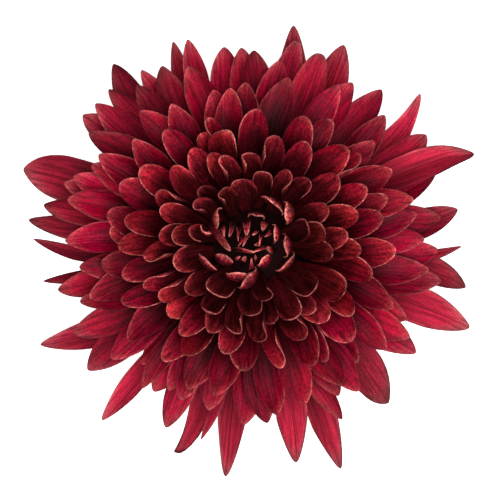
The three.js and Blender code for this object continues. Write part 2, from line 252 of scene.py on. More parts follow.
def lay(strap, name, curve, foot, look):
    """A copy of the flat strap, laid along its curve, hollowed, folded and curled at its edges."""
    copy = strap.copy()
    copy.data = strap.data.copy()
    copy.name = name
    bpy.context.scene.collection.objects.link(copy)
    cage = np.empty(len(copy.data.vertices) * 3)
    copy.data.vertices.foreach_get("co", cage)
    x, y, _ = cage.reshape(-1, 3).T
    # Its end is drawn aslant and narrower, and runs straight on where it passes the curve's.
    y = y * (1 + (look["skew"] * x - look["narrow"] * x * x) * smoothstep((y - 0.5) / 0.5))
    s = foot + (1 - foot) * y
    r, z, slope = (np.interp(s, curve[0], values) for values in curve[1:])
    r = r + np.maximum(s - 1, 0) * (curve[1][-1] - curve[1][-2]) * ALONG
    z = z + np.maximum(s - 1, 0) * (curve[2][-1] - curve[2][-2]) * ALONG
    half = look["outline"](s) * look["breadth"] / 2
    # Across, it is an arc, folded along its middle, that turns more towards its edges. The
    # further an edge turns, the more of the breadth turns with it.
    u = np.linspace(0, 1, ACROSS)
    hollow = 2 * math.atan(look["cup"])
    curl = np.where(x < 0, look["curl_left"], look["curl_right"])
    start = (0.78 - 0.5 * np.minimum(curl, FULL_CURL) / FULL_CURL)[:, None]
    curl = curl * smoothstep((s - look["curl_from"]) / 0.35)
    curl = curl * (1 - 0.75 * smoothstep((y - 0.8) / 0.2))
    turn = hollow * u + math.radians(look["crease"])
    turn = turn + np.radians(curl)[:, None] * smoothstep((u - start) / (1 - start))
    wide, high = (
        np.array([np.interp(abs(a), u, run) for a, run in zip(x, np.cumsum(runs, 1) / ACROSS)])
        for runs in (np.cos(turn), np.sin(turn))
    )
    wide = wide * np.sign(x) * half * hollow / math.sin(hollow)
    high = high * half
    # Its tip is bent aside and turned up, and it is wavy and crumpled.
    wide = wide + look["hooked"] * smoothstep((y - 0.8) / 0.2) ** 2
    high += half * look["lip"] * smoothstep((y - 0.78) / 0.22) ** 2
    high += look["wave"] * x**2 * np.sin(2 * math.pi * (look["waves"] * s + look["phase"]))
    high += look["ripple"] * np.sign(x) * x**2 * np.cos(2 * math.pi * (1.3 * s + look["phase"]))
    high += look["crumple"] * np.array([wear(-1, 1) for _ in x]) * smoothstep((y - 0.4) / 0.4)
    # It stands at its azimuth, swept to one side and rolled about its length.
    bearing = np.radians(look["azimuth"] - 2 * look["sweep"] * (1 - s * s))
    tilt = np.radians(look["roll"] * s)
    out = np.stack([np.cos(bearing), np.sin(bearing), 0 * s], 1)
    side = np.stack([np.sin(bearing), -np.cos(bearing), 0 * s], 1)
    face = np.stack([-np.sin(slope) * out[:, 0], -np.sin(slope) * out[:, 1], np.cos(slope)], 1)
    point = out * r[:, None] + np.stack([0 * z, 0 * z, z], 1)
    point += side * (wide * np.cos(tilt) + high * np.sin(tilt))[:, None]
    point += face * (-wide * np.sin(tilt) + high * np.cos(tilt))[:, None]
    point[:, 2] = np.maximum(point[:, 2], LOWEST)
    point[:, :2] += np.add(AXIS, look["stand"])
    copy.data.vertices.foreach_set("co", point.ravel())
    for key in TRAITS:
        attribute = copy.data.attributes.new(key, "FLOAT", "POINT")
        attribute.data.foreach_set("value", np.full(len(x), look[key], np.float32))
    copy.data.update()
    return copy


def finished(parts, name, thickness, materials):
    """Joins the straps into one piece, and gives it its thickness, its smoothness and its
    materials, which are those of the face, the back and the rim."""
    bpy.ops.object.select_all(action="DESELECT")
    for part in parts:
        part.select_set(True)
    bpy.context.view_layer.objects.active = parts[-1]
    bpy.ops.object.join()
    piece = bpy.context.object
    piece.name = name
    piece.data.name = name
    for material in materials:
        piece.data.materials.append(material)
    wall = piece.modifiers.new("wall", "SOLIDIFY")
    wall.thickness = thickness
    wall.offset = -1
    wall.material_offset = 1
    wall.material_offset_rim = 2
    smooth = piece.modifiers.new("smooth", "SUBSURF")
    smooth.levels = 1
    smooth.render_levels = 1
    bpy.ops.object.modifier_apply(modifier="wall")
    bpy.ops.object.modifier_apply(modifier="smooth")
    bpy.ops.object.shade_smooth()
    return piece


def linear(hex_colour):
    """sRGB hex to the linear colour that a shader takes."""
    values = [int(hex_colour[i : i + 2], 16) / 255 for i in (1, 3, 5)]
    return [v / 12.92 if v <= 0.04045 else ((v + 0.055) / 1.055) ** 2.4 for v in values] + [1]


def bare_material(name):
    """A material that has no nodes yet."""
    material = bpy.data.materials.new(name)
    material.use_nodes = True
    material.node_tree.nodes.clear()
    return material


def node(material, kind, inputs=(), **settings):
    """Adds a node with its settings. Its inputs are given in their order, or by name or number.
    Each is a value to set, or the node or the output that is linked to it."""
    made = material.node_tree.nodes.new("ShaderNode" + kind)
    for key, value in settings.items():
        setattr(made, key, value)
    for key, value in inputs.items() if isinstance(inputs, dict) else enumerate(inputs):
        if isinstance(value, bpy.types.Node):
            value = value.outputs[0]
        if isinstance(value, bpy.types.NodeSocket):
            material.node_tree.links.new(value, made.inputs[key])
        else:
            made.inputs[key].default_value = value
    return made


def petal_tissue(name, pigments, margins, mottle, mottled, patch_scale, highlight_share, streaks):
    """Petal tissue, matt and a little velvety from its fine papillae, with veins along it. Its
    pigment goes by the floret's age and is thinner towards the margin. Shade is painted in towards
    the claw, light on one side, and highlights along the margin.
    A range's inputs are its value, what that goes from and to, and what it gives from and to."""
    m = bare_material(name)
    tint, age, claw, pale_side, pale_edge, pale_tip = (
        node(m, "Attribute", attribute_name=key).outputs["Fac"] for key in TRAITS
    )
    here = node(m, "TexCoord").outputs["Object"]
    uv = node(m, "SeparateXYZ", [node(m, "UVMap", uv_map="UVMap")]).outputs
    edge = node(m, "Math", [uv["X"], 0.5], operation="SUBTRACT")
    edge = node(m, "Math", [edge], operation="ABSOLUTE")
    ramps = []
    for stops in (pigments, margins):
        ramps.append(node(m, "ValToRGB", [age]))
        elements = ramps[-1].color_ramp.elements
        while len(elements) < len(stops):
            elements.new(0.5)
        for element, (place, colour) in zip(elements, stops):
            element.position = place
            element.color = linear(colour)
    # Veins 0.5 mm apart on a strap 7 mm broad, and broken every 10 mm or so along it.
    across = node(m, "Math", [uv["X"], 14], operation="MULTIPLY")
    along = node(m, "Math", [uv["Y"], 2.4], operation="MULTIPLY")
    own = node(m, "Math", [tint, 60], operation="MULTIPLY")
    veins = {"Vector": node(m, "CombineXYZ", [across, along, own]), "Scale": 1}
    veins = node(m, "TexNoise", {**veins, "Detail": 3, "Roughness": 0.7})
    weakest = node(m, "MapRange", [age, 0, 1, 1 - streaks, 1 - 0.6 * streaks])
    strongest = node(m, "MapRange", [age, 0, 1, 1 + streaks, 1 + 0.6 * streaks])
    streak = node(m, "MapRange", [veins, 0.39, 0.61, weakest, strongest])
    # Patches where the pigment is thinner, a millimetre or so broad.
    patches = {"Vector": here, "Scale": patch_scale, "Detail": 4, "Roughness": 0.65}
    patches = node(m, "TexNoise", patches)
    patch = node(m, "MapRange", [patches, 0.46, 0.6], interpolation_type="SMOOTHSTEP")
    patched = node(m, "MapRange", [age, 0.35, 0.8, mottled, 0.2 * mottled])
    patch = node(m, "Math", [patch, patched], operation="MULTIPLY")
    # The papillae, drawn at 0.5 mm so that they show.
    grain = node(m, "TexNoise", {"Vector": here, "Scale": 1900, "Detail": 2})
    darkest = node(m, "MapRange", [age, 0.5, 1, 0.6, 0.88])
    brightest = node(m, "MapRange", [age, 0.5, 1, 1.4, 1.12])
    grain = node(m, "MapRange", [grain, 0.36, 0.64, darkest, brightest])
    # Shade is painted in towards the claw, which lies in the shade of the others, the further up
    # the younger the floret, and light is painted in towards the tip.
    low = node(m, "MapRange", [age, 0.45, 0.8, 0.54, 0.34])
    high = node(m, "MapRange", [age, 0.45, 0.8, 0.88, 0.72])
    claw_shade = node(m, "MapRange", [uv["Y"], low, high, claw, 1.2], interpolation_type="SMOOTHSTEP")
    # Painted light and shade across: each floret is painted lighter on one side and darker on the
    # other, and its painted margins and highlights show on the lit side only.
    side = node(m, "Math", [uv["X"], pale_side], operation="SUBTRACT")
    side = node(m, "Math", [side], operation="ABSOLUTE")
    painted_side_light = node(m, "MapRange", [side, 0.2, 0.9, 1.1, 0.6])
    lit = node(m, "MapRange", [side, 0.3, 0.65, 1, 0])
    tone = node(m, "MapRange", [tint, 0, 1, 0.56, 1.16])
    # A ray is folded along its midrib, and shade is painted along the fold as a dark line.
    painted_fold_shade = node(m, "MapRange", [age, 0.8, 0.9, 1, 0.5])
    painted_fold_shade = node(m, "MapRange", [edge, 0, 0.04, painted_fold_shade, 1])
    value = claw_shade
    for share in (streak, tone, grain, painted_side_light, painted_fold_shade):
        value = node(m, "Math", [value, share], operation="MULTIPLY")
    # The tips of some of the oldest have begun to dry.
    chance = node(m, "Math", [tint, 7.3], operation="MULTIPLY")
    chance = node(m, "Math", [chance], operation="FRACT")
    dried = node(m, "MapRange", [chance, 0.3, 0.7])
    old = node(m, "MapRange", [age, 0.7, 0.9, 0, 0.55])
    end = node(m, "MapRange", [uv["Y"], 0.76, 0.98], interpolation_type="SMOOTHSTEP")
    for share in (old, end):
        dried = node(m, "Math", [dried, share], operation="MULTIPLY")
    fresh = node(m, "Math", [1, dried], operation="SUBTRACT")
    value = node(m, "Math", [value, fresh], operation="MULTIPLY")
    # Towards the edges and the tip the pigment thins, and light is painted in there too; this
    # lighter colour shows on the lit side only.
    thins = node(m, "MapRange", [age, 0, 1, 0.75, 0.1])
    thins = node(m, "Math", [chance, thins], operation="MULTIPLY")
    thin_and_lit = node(m, "MapRange", [edge, 0.3, 0.5, thins, 0.6], interpolation_type="SMOOTHSTEP")
    near = node(m, "MapRange", [uv["Y"], 0.5, 0.9])
    thin_and_lit = node(m, "Math", [thin_and_lit, near], operation="MULTIPLY")
    tip = node(m, "MapRange", [uv["Y"], 0.68, 1, 0, 0.7], interpolation_type="SMOOTHSTEP")
    thin_and_lit = node(m, "Math", [thin_and_lit, tip], operation="MAXIMUM")
    thin_and_lit = node(m, "Math", [thin_and_lit, lit], operation="MULTIPLY")
    colour = node(m, "Mix", {0: thin_and_lit, 6: ramps[0], 7: ramps[1]}, data_type="RGBA").outputs[2]
    blend = {0: patch, 6: colour, 7: linear(mottle)}
    colour = node(m, "Mix", blend, data_type="RGBA").outputs[2]
    # A pale highlight is painted along the very margin here and there, the more so where it turns
    # in, and on the lit side only.
    inner = node(m, "MapRange", [pale_edge, 0, 1, 0.42, 0.28])
    rim_highlight = node(m, "MapRange", [edge, inner, 0.48])
    rim_highlight = node(m, "Math", [rim_highlight, near], operation="MULTIPLY")
    inner = node(m, "MapRange", [pale_tip, 0, 1, 0.94, 0.7])
    end = node(m, "MapRange", [uv["Y"], inner, 0.99])
    rim_highlight = node(m, "Math", [rim_highlight, end], operation="MAXIMUM")
    young = node(m, "MapRange", [age, 0.1, 0.5, 0.4, 0])
    turned = node(m, "Math", [pale_edge, pale_tip], operation="MAXIMUM")
    turned = node(m, "Math", [turned, 0.36], operation="MULTIPLY")
    least = node(m, "Math", [young, turned], operation="MAXIMUM")
    most = node(m, "MapRange", [age, 0.4, 0.8, highlight_share, 0.3 * highlight_share])
    pale = [patches, 0.5, 0.62, least, most]
    pale = node(m, "MapRange", pale, interpolation_type="SMOOTHSTEP")
    for share in (pale, lit):
        rim_highlight = node(m, "Math", [rim_highlight, share], operation="MULTIPLY")
    blend = {0: rim_highlight, 6: colour, 7: linear("#e48c84")}
    colour = node(m, "Mix", blend, data_type="RGBA").outputs[2]
    hue = node(m, "MapRange", [thins, 0, 0.6, 0.498, 0.504])
    toned = {"Color": colour, "Hue": hue, "Saturation": 1.05, "Value": value}
    shader = {
        "Base Color": node(m, "HueSaturation", toned),
        "Normal": node(m, "Bump", {"Height": veins, "Strength": 0.6, "Distance": 0.4 * MM}),
        "Roughness": 0.5,
        "IOR": 1.42,
        "Specular IOR Level": 0.1,
        "Sheen Weight": 0.015,
        "Sheen Roughness": 0.4,
        "Sheen Tint": linear("#e08078"),
        "Subsurface Weight": 0.1,
        "Subsurface Radius": (1.0, 0.2, 0.15),
        "Subsurface Scale": 0.5 * MM,
    }
    node(m, "OutputMaterial", {"Surface": node(m, "BsdfPrincipled", shader)})
    return m


# Pigment by age, from maroon in the eye to crimson in the skirt, and what it thins to, which also
# stands for painted light on the lit side of the margins. The face is velvety, the back thin and
# patchy, and the rim, where face and back meet, has painted highlights in spots.
FACE = [
    (0.0, "#4c1418"), (0.13, "#782028"), (0.24, "#ac3c44"), (0.36, "#a6363e"), (0.53, "#821e2a"),
    (0.62, "#65101f"), (0.7, "#6c0f20"), (0.78, "#7f1227"), (0.95, "#922836"),
]
THIN_AND_LIT = [
    (0.0, "#a44a4a"), (0.25, "#c8605c"), (0.4, "#b84e4c"), (0.6, "#9c3c40"), (0.75, "#943a3e"),
    (1.0, "#a4565a"),
]
BACK = [(0.0, "#861e32"), (0.3, "#883236"), (0.6, "#8a2c34"), (1.0, "#8c2c38")]
SALMON = [(0.0, "#aa5c56"), (0.2, "#bb645e"), (1.0, "#a85058")]
RIM = [(0.0, "#7a2c32"), (0.2, "#521a22"), (0.5, "#501822"), (0.7, "#581822"), (1.0, "#5c2426")]
face = petal_tissue(
    "velvety_petal_face", FACE, THIN_AND_LIT,
    mottle="#4a0c16", mottled=0.35, patch_scale=600, highlight_share=0.8, streaks=0.6,
)
back = petal_tissue(
    "salmon_petal_back", BACK, SALMON,
    mottle="#640c1a", mottled=0.85, patch_scale=1600, highlight_share=0.8, streaks=0.7,
)
# The rim's pale mottle is painted highlight, in spots.
rim = petal_tissue(
    "petal_rim_painted_highlights", RIM, RIM,
    mottle="#b86860", mottled=0.2, patch_scale=500, highlight_share=0.85, streaks=0.1,
)

# A strap's columns from its left edge to its right one, and its rows from the claw to the tip.
SPOON_COLUMNS = [-1, -0.92, -0.78, -0.58, -0.32, 0, 0.32, 0.58, 0.78, 0.92, 1]
HOOD_ROWS = [0, 0.3, 0.48, 0.6, 0.7, 0.78, 0.85, 0.91, 0.96, 1]
hooded = flat_strap("hooded_spoon", SPOON_COLUMNS, HOOD_ROWS, hooded_end)
sliver = flat_strap("sliver", [-1, -0.5, 0, 0.5, 1], [0, 0.4, 0.62, 0.78, 0.9, 1], round_end)

wear = Draws(61)  # how each floret opened: its curls, waves and shade


def looked(floret, **given):
    """A floret with the small differences that it grew with."""
    look = {
        "sweep": 0,
        "curl_left": wear(0, 25),
        "curl_right": wear(0, 25),
        "curl_from": 0.45,
        "lip": 0.1,
        "wave": wear(-0.25, 0.25) * MM,
        "waves": wear(0.8, 1.6),
        "ripple": wear(-0.3, 0.3) * MM,
        "phase": wear(0, 1),
        "skew": wear(-0.04, 0.04),
        "narrow": wear(0, 0.1),
        "crease": 0,
        "crumple": 0.06 * MM,
        "hooked": 0,
        "stand": (0, 0),
        "claw": 0.12,
        "pale_side": wear(0, 1),
        "pale_edge": 0.1,
        "pale_tip": 0.1,
        "tint": wear(0, 1),
        "age": min(floret.get("level", 0) / RAY_REACH, 1),
    }
    return {**look, **floret, **given}


# The florets folded over the eye. The place of each fold from the axis, to the east and north in
# mm, the bearing that it folds away from, the floret's breadth, the run of its fold, its height
# under the top of the crown, its fall towards the tip, its roll, and its left and right curls.
FOLDED = [
    (-7.4, 5.1, 168, 5.0, 1.7, 1.6, 0.3, 10, 40, 20),
    (-9.5, 2.2, 200, 3.4, 0.8, 1.6, 0.2, 50, 150, 0),
    (-6.3, 0.8, 128, 1.9, 6.6, 2.4, 0.6, 30, 20, 70),
    (-5.7, -3.5, 256, 4.2, 2.1, 1.5, 1.0, -10, 10, 20),
    (-9.3, -4.4, 219, 5.4, 1.3, 1.8, 0.1, 14, 10, 20),
    (-2.7, -7.2, 266, 5.2, 2.0, 1.3, 0.3, 0, 10, 10),
    (0.0, -7.9, 318, 6.0, 2.3, 1.0, 0.4, 6, 10, 10),
    (3.3, -3.8, 316, 3.6, 1.9, 1.9, 1.2, 10, 10, 20),
    (8.1, -4.5, 313, 5.6, 1.2, 1.4, 0.1, 6, 10, 10),
    (8.1, -0.5, 3, 5.2, 1.7, 1.5, 0.3, 0, 10, 10),
    (5.7, 2.0, 8, 4.3, 1.5, 1.9, 0.6, -10, 30, 10),
    (8.4, 6.5, 8, 5.2, 2.1, 0.9, 0.3, -6, 10, 20),
    (5.4, 8.6, 60, 6.2, 1.1, 0.7, 0.1, -16, 0, 20),
    (1.5, 6.1, 84, 3.8, 1.0, 1.4, 0.2, 0, 20, 60),
    (2.9, 3.7, 70, 1.6, 2.0, 2.6, 0.5, 20, 20, 20),
    (-5.8, 2.4, 98, 0.8, 2.4, 2.6, 0.6, 0, 20, 20),
    (-4.1, 3.0, 74, 1.1, 3.6, 2.3, 0.7, -10, 20, 20),
    (-2.5, 2.0, 88, 0.7, 3.2, 3.0, 0.8, 10, 30, 20),
    (-0.7, 3.5, 94, 1.5, 3.6, 2.6, 0.8, 0, 20, 20),
    (-2.1, 0.2, 64, 0.5, 2.6, 3.4, 0.6, 0, 20, 20),
    (-0.9, 0.6, 66, 0.6, 3.2, 3.3, 0.6, 0, 20, 20),
    (1.0, 2.0, 50, 0.6, 1.2, 3.4, 0.3, 30, 10, 40),
    (3.9, 1.9, 40, 0.9, 1.8, 2.8, 0.6, -20, 30, 20),
    (4.1, -1.3, 345, 1.5, 1.3, 2.8, 0.5, 30, 20, 40),
    (2.2, 0.6, 76, 0.6, 2.6, 3.2, 0.3, -30, 50, 10),
    (2.3, -1.4, 24, 0.6, 3.2, 3.1, 0.2, 20, 40, 10),
    (-1.4, -1.6, 172, 0.8, 5.2, 2.7, 0.6, 40, 60, 0),
    (0.3, -4.6, 272, 0.6, 2.6, 2.6, 0.1, 0, 30, 30),
    (-1.3, -3.4, 250, 0.9, 1.1, 4.6, 0.4, 0, 40, 30),
    (-2.6, -3.2, 215, 0.5, 1.0, 4.6, 0.4, 0, 20, 40),
    (1.2, -3.2, 300, 0.6, 1.0, 4.6, 0.4, 20, 20, 20),
    (1.6, -0.3, 10, 0.6, 1.4, 3.6, 0.3, 0, 20, 20),
]
BROAD = 2.4  # broader ones stand, and lean over the eye, and the others lie over it
SLENDER = 1.8
eye = []
for east, north, bearing, breadth, run, depth, fall, roll, left, right in FOLDED:
    broad = breadth > BROAD
    half = run / 2
    if broad:
        bend = [(half - 0.6, -9), (half + 0.1, -5), (half, -2.6)]  # from the claw to the tip
        bend += [(run / 4, -1.1), (-run / 4, -0.3), (-half, 0)]
    else:
        bend = [(half + 0.9, -9), (half + 0.5, -3), (half + 0.1, -0.5), (run / 4, 0.15)]
        bend += [(-run / 4, 0.1 - fall), (-half - 0.1, -0.35 - fall)]
    bend = np.array(bend) * MM + (0, CROWN_HEIGHT - depth * MM)
    for _ in range(4):  # corners cut until the bend is smooth
        before, after = bend[:-1], bend[1:]
        cut = np.stack([0.75 * before + 0.25 * after, 0.25 * before + 0.75 * after], 1)
        bend = np.concatenate([bend[:1], cut.reshape(-1, 2), bend[-1:]])
    look = looked(
        {"azimuth": bearing, "roll": roll, "breadth": breadth * MM},
        stand=(east * MM, north * MM),
        age=lerp(0, 0.2, min(math.hypot(east, north) / 10, 1)),
        outline=lambda s: np.interp(s, [0, 0.4, 0.7, 1], [0.5, 0.85, 1, 1 if broad else 0.8]),
        cup=min(max(2 * run / breadth + 0.1, 0.6), 0.95) if broad else 0.6,
        claw=0.35 if breadth > SLENDER else 0.05,
        pale_side=0.5,
        pale_edge=0.5,
        pale_tip=0.5,
        crease=wear(0, 8),
        lip=0,
        curl_left=left,
        curl_right=right,
        curl_from=0.3,
        crumple=(0.15 if broad else 0.08) * MM,
        wave=wear(-0.6, 0.6) * MM if broad else 0,
        skew=wear(-0.1, 0.1),
        narrow=wear(-0.04, 0.06),
    )
    eye.append(lay(hooded if broad else sliver, "folded_floret", evenly(bend), 0, look))
eye_florets = finished(eye, "eye_florets", 1.5 * PETAL_THICKNESS, [face, back, rim])
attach(eye_florets, "root")
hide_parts("ray_florets")

# ---------------------------------------------------------------- spoons of the crown
# The crown's florets have opened into spoons, cupped deeply near the eye and ever flatter outwards.
# Their faces are velvety and dark, their thin rims have a painted highlight on one side, and here
# and there an edge has rolled in and shows the salmon back.

INNER_TO = 22 * MM  # how far the inner spoons reach,
CROWN_TO = 33.2 * MM  # and the others
SKIRT_FROM = 40.6 * MM  # florets that reach further belong to the skirt,
RAYS_OPEN = 43.3 * MM  # and these stand clear, so that less shade is painted at their claws
CROWN_FALL = 2.2
EYE_DEPTH = 5 * MM
EYE_RADIUS = 6 * MM
RECEPTACLE_RADIUS = 8.5 * MM
RECEPTACLE_TOP = 19 * MM
RECEPTACLE_DOME = 5 * MM
CORE_SHARE = (0.4, 0.15)  # of a floret's length, packed claw, at the eye and in the skirt
CLAW_SUNK = 0.06
CLAW_BREADTH = 0.25  # of the floret's
ROOT_RISE = (95, 10)  # slope of a floret at its root, at the eye and in the skirt
TIP_RISE = (150, -28)
TIP_OPENING = 0.6
ROOT_PULL = 0.42
TIP_PULL = 0.32


def midrib(level, reach, hook, *hood):
    """A floret's run in the upright plane through the axis, from its root on the receptacle to
    its tip. Inner florets rise steeply and hook inwards, and outer ones spread and droop. The
    hood is how far its last part bends, and where it starts to."""
    share = level / RAY_REACH
    dome = CROWN_HEIGHT * (1 - share**CROWN_FALL)
    root_height = RECEPTACLE_TOP - RECEPTACLE_DOME * share**1.2
    root = np.array([RECEPTACLE_RADIUS * share**0.6, root_height])
    tip = np.array([reach, dome - EYE_DEPTH * math.exp(-((level / EYE_RADIUS) ** 2))])
    chord = np.linalg.norm(tip - root)
    root_rise = math.radians(lerp(*ROOT_RISE, share**0.9))
    tip_rise = math.radians(lerp(*TIP_RISE, share**TIP_OPENING) + hook)
    leaving = root + ROOT_PULL * chord * np.array([math.cos(root_rise), math.sin(root_rise)])
    arriving = tip - TIP_PULL * chord * np.array([math.cos(tip_rise), math.sin(tip_rise)])
    t = np.linspace(0, 1, 201)[:, None]
    points = (1 - t) ** 3 * root + 3 * (1 - t) ** 2 * t * leaving
    points = points + 3 * (1 - t) * t**2 * arriving + t**3 * tip
    return evenly(points, *hood)


def packed_share(level):
    """Share of a floret's length that is claw, packed among the others."""
    return lerp(*CORE_SHARE, min(level / RAY_REACH, 1))


def strap_breadth(s):
    """Share of its breadth that a floret has along its length: a narrow claw that widens."""
    return lerp(CLAW_BREADTH, 1, smoothstep((s - 0.2) / 0.6))


def lay_floret(strap, name, look):
    """A floret laid on its midrib, and drawn out until its tip, however it is bent or turned up,
    reaches as far as it should."""
    reach = look["reach"]
    for _ in range(3):
        curve = midrib(look["level"], reach, look["hook"], look["tip"], look["tip_from"])
        lip = look["lip"] * look["breadth"] / 2 * math.sin(curve[3][-1])
        reach += look["reach"] - curve[1][-1] + lip
    return lay(strap, name, curve, packed_share(look["level"]) - CLAW_SUNK, look)


CLEARANCE = 0.2 * MM
GIVES = 3 * MM  # a floret bends down no further than this
CELL = 0.25 * MM
CELLS = 480  # each way
laid = np.full((CELLS, CELLS), np.inf)  # the lowest floret laid so far, over each cell of the plan


def spread(count, times):
    """Weights that draw a row of points out to so many times as many, and each one's nearest."""
    place = np.linspace(0, count - 1, times * count)
    weights = [np.interp(place, range(count), one) for one in np.eye(count)]
    return np.array(weights).T, np.rint(place).astype(int)


def tuck_under(floret, columns):
    """Bends a floret down where it would come up through one that lies over it."""
    points = np.empty(len(floret.data.vertices) * 3)
    floret.data.vertices.foreach_get("co", points)
    points = points.reshape(-1, columns, 3)
    along, nearest_row = spread(len(points), 8)
    across, nearest_column = spread(columns, 6)

    def over_plan():
        fine = np.einsum("ri,ijk,cj->rck", along, points, across)
        cell = [(fine[:, :, k] - AXIS[k]) / CELL + CELLS / 2 for k in (0, 1)]
        return fine[:, :, 2], tuple(np.clip(one, 0, CELLS - 1).astype(int) for one in cell)

    for _ in range(2):
        height, cell = over_plan()
        above = height - laid[cell] + PETAL_THICKNESS + CLEARANCE
        push = np.zeros(points.shape[:2])
        np.maximum.at(push, np.ix_(nearest_row, nearest_column), above)
        for _ in range(2):  # its neighbours along the floret give way with it
            push[1:] = np.maximum(push[1:], push[:-1] * 0.6)
            push[:-1] = np.maximum(push[:-1], push[1:] * 0.6)
        free = smoothstep((np.linspace(0, 1, len(points)) - 0.2) / 0.3)[:, None]
        push = np.minimum(push, GIVES) * free
        points[:, :, 2] = np.maximum(points[:, :, 2] - push, LOWEST)
    height, cell = over_plan()
    np.minimum.at(laid, cell, height)
    floret.data.vertices.foreach_set("co", points.ravel())
    floret.data.update()


# How single rays lie, by the azimuth that they grew at.
SETTLED = {
    22: {
        "azimuth": 23, "sweep": -1.5, "breadth": 7.6 * MM, "narrow": 0.1, "hooked": 1.2 * MM,
        "crease": 30, "cup": 0.05, "tint": 0.95, "age": 1,
    },
    31.5: {"narrow": 0, "tip": -20},
    40: {"sweep": 5, "breadth": 6.8 * MM, "narrow": 0.42, "hooked": -0.9 * MM, "curl_right": 0},
    69.5: {"tip": -70, "tip_from": 0.92},
    77: {"tip": -60, "tip_from": 0.93},
    127.5: {"breadth": 6.6 * MM, "narrow": 0.05},
    142.5: {"breadth": 6.4 * MM, "narrow": 0},
    162: {"breadth": 9.6 * MM, "narrow": 0.02, "tint": 0.6},
    179: {"tint": 0},
    206: {"breadth": 6.2 * MM, "narrow": 0.16},
    230: {"breadth": 4.8 * MM, "narrow": 0.1},
    251: {
        "azimuth": 252.5, "reach": 48.4 * MM, "breadth": 5.2 * MM, "narrow": 0.34, "tint": 0.25,
        "hooked": 1.9 * MM, "tip": 140, "tip_from": 0.9,
    },
    264: {"breadth": 6 * MM, "narrow": 0.28, "crease": 12},
    282: {"narrow": 0.2},
    292: {"narrow": 0.2, "crease": 10},
    311: {"sweep": -2, "breadth": 8 * MM, "narrow": 0, "tint": 0.1},
    339.5: {"narrow": 0.1, "hooked": 0.4 * MM, "crease": 12, "tint": 0.9},
    348.5: {"tint": 0.1},
    359: {"tint": 0},
}
ROLLED_IN = 120  # an edge that turns further has rolled in, and the others stand up a little
TURNED_IN = 75  # and a tip that turns further has turned in
TIPS_TURN_FROM = 17 * MM  # if the floret is longer than this
LONG_FROM = 48.3 * MM  # a longer ray narrows more to its tip


def whorls(name, low, high, strap, columns, outline=strap_breadth):
    """The florets that reach from low to high, as one piece."""
    parts = []
    for floret in [f for f in florets if low <= f["reach"] < high]:
        age = min(floret["level"] / RAY_REACH, 1)
        curl = wear(0, 35)
        left, right, tip = floret.get("turns") or (curl, wear(0, 25), wear(-10, 30))
        # It gets painted highlights along what turns in, and is painted lit on the side that turns
        # in more.
        pale = {"pale_edge": min(max(left, right) / 150, 1), "pale_tip": min(max(tip, 0) / 120, 1)}
        if abs(right - left) > 20:
            pale["pale_side"] = 0.5 + min(max((right - left) / 70, -0.5), 0.5)
        left, right = (edge * (1 if edge > ROLLED_IN else 0.4) for edge in (left, right))
        if tip > TURNED_IN and floret["reach"] > TIPS_TURN_FROM:
            tip = tip * 0.35
        else:
            tip = tip * 0.15 - 30 * max(0.5 - age, 0)
        look = looked(
            floret,
            roll=floret["roll"] * 0.8 + wear(-8, 8) * (1.1 - age),
            cup=lerp(0.85, 0.12, age**0.8) + wear(-0.04, 0.12),
            lip=lerp(0.5, 0, age),
            crease=wear(0, 12),
            narrow=lerp(0.24, 0, age) + wear(0, 0.08) + 0.12 * (floret["reach"] > LONG_FROM),
            outline=outline,
            # how light the painted shade at the claw is: lighter on the outer florets, and lightest
            # on the rays, which stand clear
            claw=lerp(0.08, 0.4, age) if floret["reach"] < RAYS_OPEN else 0.6,
            curl_left=left,
            curl_right=right,
            tip=tip,
            tip_from=0.8,
            **pale,
        )
        look |= SETTLED.get(floret["azimuth"], {})
        parts.append(lay_floret(strap, name[:-1], look))
        tuck_under(parts[-1], columns)
    piece = finished(parts, name, PETAL_THICKNESS, [face, back, rim])
    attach(piece, "root")
    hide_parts("ray_florets")


